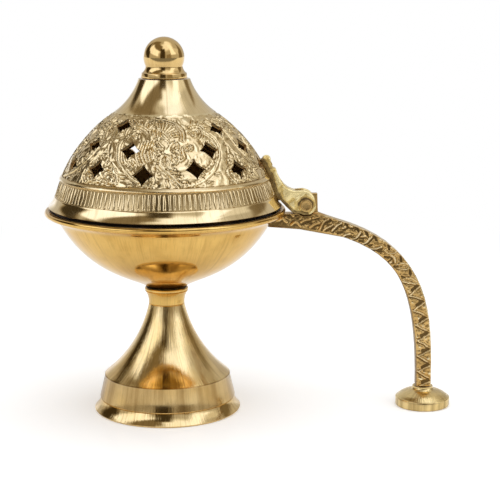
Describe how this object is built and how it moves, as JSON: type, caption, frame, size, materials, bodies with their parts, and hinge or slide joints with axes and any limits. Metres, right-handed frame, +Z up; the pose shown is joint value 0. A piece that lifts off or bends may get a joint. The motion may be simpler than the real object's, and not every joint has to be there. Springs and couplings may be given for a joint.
{
  "type": "censer",
  "caption": "Brass table censer: round bowl on a trumpet pedestal, hinged pierced dome lid with a ball finial, and a curved handle that stands on its own small foot.",
  "frame": {"origin": "on the table, in the middle of the censer's length and width", "axes": "+Z up, +X from the bowl towards the handle's foot, +Y along the hinge pin"},
  "size_m": [0.1704, 0.1, 0.1565],
  "materials": {
    "polished_brass": "polished, fine turning lines",
    "chased_brass": "chased relief, satin",
    "cast_brass": "cast relief, dark in the hollows",
    "fastener_brass": "machined satin"
  },
  "bodies": {
    "burner": {"pedestal": "polished_brass", "bowl": "polished_brass", "bowl_bolt": "fastener_brass", "bowl_bolt_washer": "fastener_brass", "bowl_bolt_nut": "fastener_brass", "handle": "cast_brass", "handle_screw_1": "fastener_brass", "handle_screw_2": "fastener_brass", "handle_foot": "polished_brass", "handle_foot_screw": "fastener_brass", "hinge_pin": "cast_brass"},
    "lid": {"lid_dome": "chased_brass", "finial": "polished_brass", "finial_washer": "fastener_brass", "finial_screw": "fastener_brass", "lid_strap": "cast_brass", "lid_strap_rivet_1": "fastener_brass", "lid_strap_rivet_2": "fastener_brass"}
  },
  "joints": [
    {"name": "lid_hinge", "type": "hinge", "parent": "burner", "child": "lid", "pos_m": [0.02295, 0, 0.0873], "axis": [0, 1, 0], "range_deg": [0, 95]}
  ]
}
